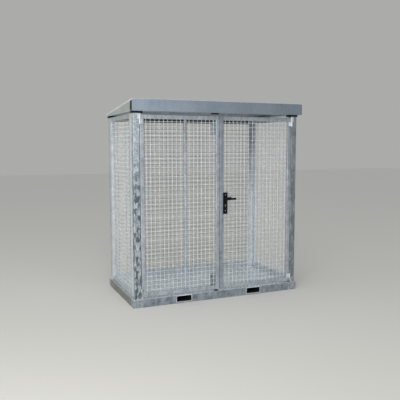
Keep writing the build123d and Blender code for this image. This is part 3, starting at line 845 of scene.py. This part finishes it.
# %% Weld beads of the posts and the fork pockets
POST_WELD, MIDDLE_POST_WELD, POCKET_WELD = 3 * MM, 2.5 * MM, 4 * MM

floor_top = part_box("floor_sheet")[1].z
weld_limit = cad_box[1][1] - POST_WELD

shape = bmesh.new()
for post in ("front_left_post", "front_right_post", "back_left_post", "back_right_post"):
    low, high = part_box(post)
    high.y = min(high.y, weld_limit)
    weld_loop(shape, level_loop(low, high, low.z + 1 * MM), POST_WELD)
low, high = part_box("back_middle_post")
high.y = min(high.y, weld_limit)
weld_loop(shape, level_loop(low, high, floor_top), MIDDLE_POST_WELD)
for pocket in ("fork_pocket_left", "fork_pocket_right"):
    low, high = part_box(pocket)
    mouth = [(low.x, low.z), (high.x, low.z), (high.x, high.z), (low.x, high.z)]
    for y in (low.y, high.y - POCKET_WELD):
        weld_loop(shape, [Vector((x, y, z)) for x, z in mouth], POCKET_WELD)
# The welds take the hinges' bright zinc, a painted highlight.
finish_piece(shape, "base_and_post_welds", "cage", hinge_zinc, 60)

# %% Weld beads of the leaves
LEAF_WELD, RAIL_HEIGHT = 1.8 * MM, 45 * MM

for leaf in ("left_door", "right_door"):
    stile_low, stile_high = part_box(f"{leaf}_stiles")
    rail_low, rail_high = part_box(f"{leaf}_rails")
    shape = bmesh.new()
    for x in (rail_low.x, rail_high.x):
        for y in (stile_low.y, stile_high.y):
            for bottom in (stile_low.z, stile_high.z - RAIL_HEIGHT):
                foot = Vector((x, y, bottom))
                add_weld(shape, foot, foot + UPWARD * RAIL_HEIGHT, LEAF_WELD)
    finish_piece(shape, f"{leaf}_welds", leaf, leaf_zinc, 60)

# %% [markdown]
# ## Hinges
#
# Each leaf hangs on two barrel hinges. The knuckle of the leaf turns on a pin that stands in the
# knuckle of the post, and a plate welded to the knuckle lies flat on the leaf's stile. CAD has them
# with sharp corners, so the leaf's half is built again here, and a washer goes between the knuckles.
# The real barrel is turned on a lathe, and spin does the same here: it carries half the barrel's
# section, with its chamfers and its blind bore for the pin, once round the axis. The plate has rounded
# corners and its weld. The hinges are painted as the brightest zinc on the cage, a painted highlight,
# and the copy on the posts and the left leaf carries dark blotches low down, as painted shade.

# %% Turned barrel
KNUCKLE_LENGTH, BARREL_RADIUS, CHAMFER = 56 * MM, 10 * MM, 1 * MM
BORE_RADIUS, BORE_CAP = 6.3 * MM, 6 * MM


def add_barrel(shape, open_end, closed_end):
    """Spins half a knuckle's section round its axis: chamfered outside, bored for the pin."""
    inward = (closed_end - open_end).normalized()
    outline = (
        (BORE_RADIUS, open_end),
        (BARREL_RADIUS - CHAMFER, open_end),
        (BARREL_RADIUS, open_end + inward * CHAMFER),
        (BARREL_RADIUS, closed_end - inward * CHAMFER),
        (BARREL_RADIUS - CHAMFER, closed_end),
        (0.0, closed_end),
        (0.0, closed_end - inward * BORE_CAP),
        (BORE_RADIUS, closed_end - inward * BORE_CAP),
    )
    before = set(shape.verts)
    points = [shape.verts.new(place + RIGHTWARD * radius) for radius, place in outline]
    edges = [shape.edges.new((a, b)) for a, b in zip(points, points[1:] + points[:1])]
    bmesh.ops.spin(
        shape,
        geom=points + edges,
        cent=open_end,
        axis=UPWARD,
        angle=math.tau,
        steps=24,
        use_merge=True,
    )
    turned = [point for point in shape.verts if point not in before]
    bmesh.ops.remove_doubles(shape, verts=turned, dist=0.01 * MM)
    print("barrel", round((closed_end - open_end).length / MM), "mm long")


# %% Hinge halves of the leaves, and washers
PLATE_WIDTH, PLATE_HEIGHT, PLATE_THICKNESS = 32 * MM, 46 * MM, 6 * MM
PLATE_START, PLATE_ROUNDING, PLATE_WELD = 7 * MM, 1.5 * MM, 2.4 * MM
KNUCKLE_GAP, WASHER_RADIUS, WASHER_THICKNESS = 2 * MM, 10.8 * MM, 1.8 * MM

washers = bmesh.new()
# The right leaf's halves take the bright zinc, a painted highlight; the left leaf's the darker copy,
# painted shade.
for leaf, inward, zinc in (("left_door", 1, shaded_hinge_zinc), ("right_door", -1, hinge_zinc)):
    low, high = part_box(f"{leaf}_knuckles")
    corner = Vector((low.x if inward > 0 else high.x, low.y, 0))
    axis = corner + Vector((inward, 1, 0)) * BARREL_RADIUS
    shape = bmesh.new()
    for open_z, closed_z in ((low.z, low.z + KNUCKLE_LENGTH), (high.z, high.z - KNUCKLE_LENGTH)):
        add_barrel(shape, axis + UPWARD * open_z, axis + UPWARD * closed_z)
    bmesh.ops.recalc_face_normals(shape, faces=shape.faces[:])
    edge_x = axis.x + inward * PLATE_WIDTH
    near_x, far_x = sorted((axis.x + inward * PLATE_START, edge_x))
    for middle in (low.z + KNUCKLE_LENGTH / 2, high.z - KNUCKLE_LENGTH / 2):
        plate_bottom, plate_top = middle - PLATE_HEIGHT / 2, middle + PLATE_HEIGHT / 2
        add_block(
            shape,
            Vector((near_x, high.y - PLATE_THICKNESS, plate_bottom)),
            Vector((far_x, high.y, plate_top)),
            PLATE_ROUNDING,
        )
        weld_foot = Vector((edge_x, high.y, plate_bottom))
        add_weld(shape, weld_foot, weld_foot + UPWARD * PLATE_HEIGHT, PLATE_WELD)
    piece = finish_piece(shape, f"{leaf}_hinge_halves", leaf, zinc)
    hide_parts(f"{leaf}_knuckles")
    for gap_bottom in (low.z - KNUCKLE_GAP, high.z):
        foot = axis + UPWARD * (gap_bottom + (KNUCKLE_GAP - WASHER_THICKNESS) / 2)
        add_rod(washers, foot, foot + UPWARD * WASHER_THICKNESS, WASHER_RADIUS, 24)
finish_piece(washers, "hinge_washers", "cage", bolt_zinc)

# %% [markdown]
# ## Stop and drips
#
# A small block stands on the base under the left leaf, beside the line where the leaves meet. Zinc
# that drains off a lower edge freezes as short drips, and nobody files them away under a door, so each
# leaf keeps a few. A drip is a rod that narrows downwards. Even drips would look made, so each has its
# own place along the leaf, as a share of its width, and its own length in millimetres.

# %% Stop
STOP_LEFT, STOP_FRONT = -62 * MM, -517 * MM
STOP_SIZE, STOP_ROUNDING = Vector((42, 22, 19)) * MM, 2 * MM

stop_low = Vector((STOP_LEFT, STOP_FRONT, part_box("base_front_channel")[1].z))
shape = bmesh.new()
add_block(shape, stop_low, stop_low + STOP_SIZE, STOP_ROUNDING)
finish_piece(shape, "leaf_stop", "cage", shaded_zinc)

# %% Drips
DRIP_PLACES = ((0.03, 6), (0.11, 4), (0.34, 5), (0.62, 3.5), (0.9, 6.5), (0.97, 4.5))
DRIP_RADIUS, DRIP_TIP_RADIUS, DRIP_ROOT = 2.2 * MM, 0.6 * MM, 0.5 * MM

for leaf in ("left_door", "right_door"):
    low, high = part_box(f"{leaf}_stiles")
    shape = bmesh.new()
    for share, length in DRIP_PLACES:
        root_x = low.x + share * (high.x - low.x)
        root = Vector((root_x, (low.y + high.y) / 2, low.z + DRIP_ROOT))
        add_rod(shape, root, root - UPWARD * length * MM, DRIP_RADIUS, 10, DRIP_TIP_RADIUS)
    finish_piece(shape, f"{leaf}_drips", leaf, leaf_zinc, 60)

# %% [markdown]
# ## Folded edges and end caps
#
# Sheet that is bent on a press has a small radius along each fold, and that radius is what catches
# the light as a thin bright line on the fascia, along the foot of the side plates and round the top of
# the base. CAD leaves the corners sharp, so each fold gets a slim rod that lies in the corner. Black
# caps close the open ends of the fascia.

# %% Folds of the fascia and the base
FASCIA_FOLD, BASE_FOLD, SIDE_FOLD = 1.8 * MM, 2.5 * MM, 2.2 * MM

fascia_low, fascia_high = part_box("roof_front_fascia")
fascia_run = RIGHTWARD * (fascia_high.x - fascia_low.x - 2 * MM)
shape = bmesh.new()
for z in (fascia_low.z + MM, fascia_high.z - MM):
    left_end = Vector((fascia_low.x + MM, fascia_low.y + 1.9 * MM, z))
    add_rod(shape, left_end, left_end + fascia_run, FASCIA_FOLD)
finish_piece(shape, "fascia_folds", "cage", roof_zinc)

foot_low, foot_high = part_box("base_corner_feet")
base_front = min(foot_low.y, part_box("base_front_channel")[0].y)
rim = level_loop(
    Vector((foot_low.x + BASE_FOLD, base_front + BASE_FOLD, 0)),
    Vector((foot_high.x - BASE_FOLD, foot_high.y - BASE_FOLD, 0)),
    foot_high.z - 1.5 * MM,
)
shape = bmesh.new()
for start, end in zip(rim, rim[1:] + rim[:1]):
    add_rod(shape, start, end, BASE_FOLD)
# The base's folds take the hinges' bright zinc, a painted highlight.
finish_piece(shape, "base_folds", "cage", hinge_zinc)

# %% Side plate folds and end caps
CAP_FROM_END, CAP_THICKNESS, CAP_ROUNDING = 5 * MM, 5 * MM, 1.5 * MM
CAP_INSET, CAP_TOP_INSET = 2 * MM, 4 * MM

side_low, side_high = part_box("roof_side_plates")
folds, caps = bmesh.new(), bmesh.new()
for side_x, fascia_x, inward in ((side_low.x, fascia_low.x, 1), (side_high.x, fascia_high.x, -1)):
    fold_front = Vector((side_x + inward * 1.5 * MM, side_low.y, side_low.z + 1.5 * MM))
    add_rod(folds, fold_front, fold_front + BACKWARD * (side_high.y - side_low.y), SIDE_FOLD)
    cap_x = fascia_x + inward * CAP_FROM_END
    near_x, far_x = sorted((cap_x, cap_x + inward * CAP_THICKNESS))
    add_block(
        caps,
        Vector((near_x, fascia_low.y + CAP_INSET, fascia_low.z + CAP_INSET)),
        Vector((far_x, fascia_high.y - CAP_INSET, fascia_high.z - CAP_TOP_INSET)),
        CAP_ROUNDING,
    )
# The side plates' folds take the roof's painted highlight.
finish_piece(folds, "side_plate_folds", "cage", hem_zinc)
finish_piece(caps, "fascia_end_caps", "cage", pad_plastic)

# %% [markdown]
# ## Roof screws
#
# The roof sheet is held to its cross tubes by hexagon screws with a rubber washer, which show from
# above. They stand square to the sheet, so their axis leans with its slope. A rod with six sides is a
# hexagon head, and a loop sets one row of screws over each cross tube.

# %% Roof screws
ROOF_FALL, ROOF_DEPTH = 100, 1165
ROOF_SLOPE = ROOF_FALL / ROOF_DEPTH
SCREW_ROWS = (-474 * MM, -105 * MM, 279 * MM)
SCREWS_IN_ROW, SCREW_PITCH = 7, 330 * MM
SEAL_RADIUS, SEAL_TOP_RADIUS, SEAL_HEIGHT = 8 * MM, 7 * MM, 2 * MM
HEAD_RADIUS, HEAD_HEIGHT = 4.6 * MM, 4 * MM

roof_low, roof_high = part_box("roof_sheet")
square_to_roof = Vector((0, ROOF_SLOPE, 1)).normalized()
roof_washers, heads = bmesh.new(), bmesh.new()
for y in SCREW_ROWS:
    for column in range(SCREWS_IN_ROW):
        x = (column - SCREWS_IN_ROW // 2) * SCREW_PITCH
        seat = Vector((x, y, roof_high.z - ROOF_SLOPE * (y - roof_low.y)))
        head_seat = seat + square_to_roof * SEAL_HEIGHT
        add_rod(roof_washers, seat, head_seat, SEAL_RADIUS, 20, SEAL_TOP_RADIUS)
        add_rod(heads, head_seat, head_seat + square_to_roof * HEAD_HEIGHT, HEAD_RADIUS, 6)
finish_piece(roof_washers, "roof_washers", "cage", pad_plastic)
finish_piece(heads, "roof_screws", "cage", bolt_zinc)

# %% [markdown]
# ## Floor, backdrop and light
#
# The stage is a plain floor that runs out into a world of about the same grey, so nothing competes
# with the thin wires, and both bright and dull zinc stand out from it.

# %% Floor
FLOOR_REACH, FLOOR_GREY = 30, "#DAD7D0"

floor_shape = bmesh.new()
bmesh.ops.create_grid(floor_shape, x_segments=1, y_segments=1, size=FLOOR_REACH)
floor_mesh = bpy.data.meshes.new("studio_floor")
floor_shape.to_mesh(floor_mesh)
floor_shape.free()
studio_floor = bpy.data.objects.new("studio_floor", floor_mesh)
bpy.context.scene.collection.objects.link(studio_floor)
floor_paint = bpy.data.materials.new("matt_studio_floor")
floor_paint.use_nodes = True
floor_shader = floor_paint.node_tree.nodes["Principled BSDF"]
floor_shader.inputs["Base Color"].default_value = linear(FLOOR_GREY)
floor_shader.inputs["Roughness"].default_value = 0.9
floor_shader.inputs["Specular IOR Level"].default_value = 0.1
floor_mesh.materials.append(floor_paint)
print("floor", [round(side, 1) for side in studio_floor.dimensions])

# %% [markdown]
# Zinc mirrors softly what it faces, so the world is also the main light. Behind the cage it has one
# even grey. In front it is bright on the left and dark on the right, so that flat front faces, such as
# the fascia, shade from left to right as they would outdoors. Texture Coordinate's Generated output
# gives each ray's direction in a world, and two Map Range nodes turn its X and Y into shares. Every
# ray sees the same world, so what the metal mirrors is what stands around it.

# %% World
STAGE_GREY, BRIGHT_SIDE, DARK_SIDE = "#ABACA9", "#EBF1F7", "#6E7274"

world = bpy.data.worlds.new("studio_world")
world.use_nodes = True
bpy.context.scene.world = world
sky = world.node_tree
background = sky.nodes["Background"]
ray = add_node(sky, "ShaderNodeTexCoord", {}).outputs["Generated"]
toward = add_node(sky, "ShaderNodeSeparateXYZ", {0: ray})
right_share = add_node(
    sky,
    "ShaderNodeMapRange",
    {"Value": toward.outputs["X"], "From Min": 0.29, "From Max": 0.42},
)
front_share = add_node(
    sky,
    "ShaderNodeMapRange",
    {"Value": toward.outputs["Y"], "From Min": 0.5, "From Max": -0.3},
)
front_light = add_node(
    sky,
    "ShaderNodeMix",
    {0: right_share.outputs["Result"], COLOUR_A: linear(BRIGHT_SIDE), COLOUR_B: linear(DARK_SIDE)},
    data_type="RGBA",
)
all_round = add_node(
    sky,
    "ShaderNodeMix",
    {
        0: front_share.outputs["Result"],
        COLOUR_A: linear(STAGE_GREY),
        COLOUR_B: front_light.outputs[COLOUR_OUT],
    },
    data_type="RGBA",
)
sky.links.new(all_round.outputs[COLOUR_OUT], background.inputs["Color"])
background.inputs["Strength"].default_value = 1.0
print("world", world.name, "with", len(sky.nodes), "nodes")

# %% [markdown]
# Three soft lamps add what the world can't. The large key lamp stands high at the front left and
# gives the shadow on the floor. A low one fills the base and the foot of the posts, and a weak one
# lifts the left side panel. Their power is set so that a colour comes out about as it is written.

# %% Lamps
MID_HEIGHT = 1.1


def soft_lamp(name, place, size, watts):
    """Adds a square area lamp that points at the middle of the cage."""
    lamp = bpy.data.objects.new(name, bpy.data.lights.new(name, "AREA"))
    bpy.context.scene.collection.objects.link(lamp)
    lamp.data.size = size
    lamp.data.energy = watts
    lamp.location = place
    line_of_light = Vector((0, 0, MID_HEIGHT)) - Vector(place)
    lamp.rotation_euler = line_of_light.to_track_quat("-Z", "Y").to_euler()
    print(name, watts, "W")


soft_lamp("key_lamp", (-3.5, -6.5, 5.5), 4.0, 240)
soft_lamp("low_lamp", (-3.6, -4.2, 0.7), 2.0, 50)
soft_lamp("left_lamp", (-6.5, -0.5, 2.6), 3.0, 14)
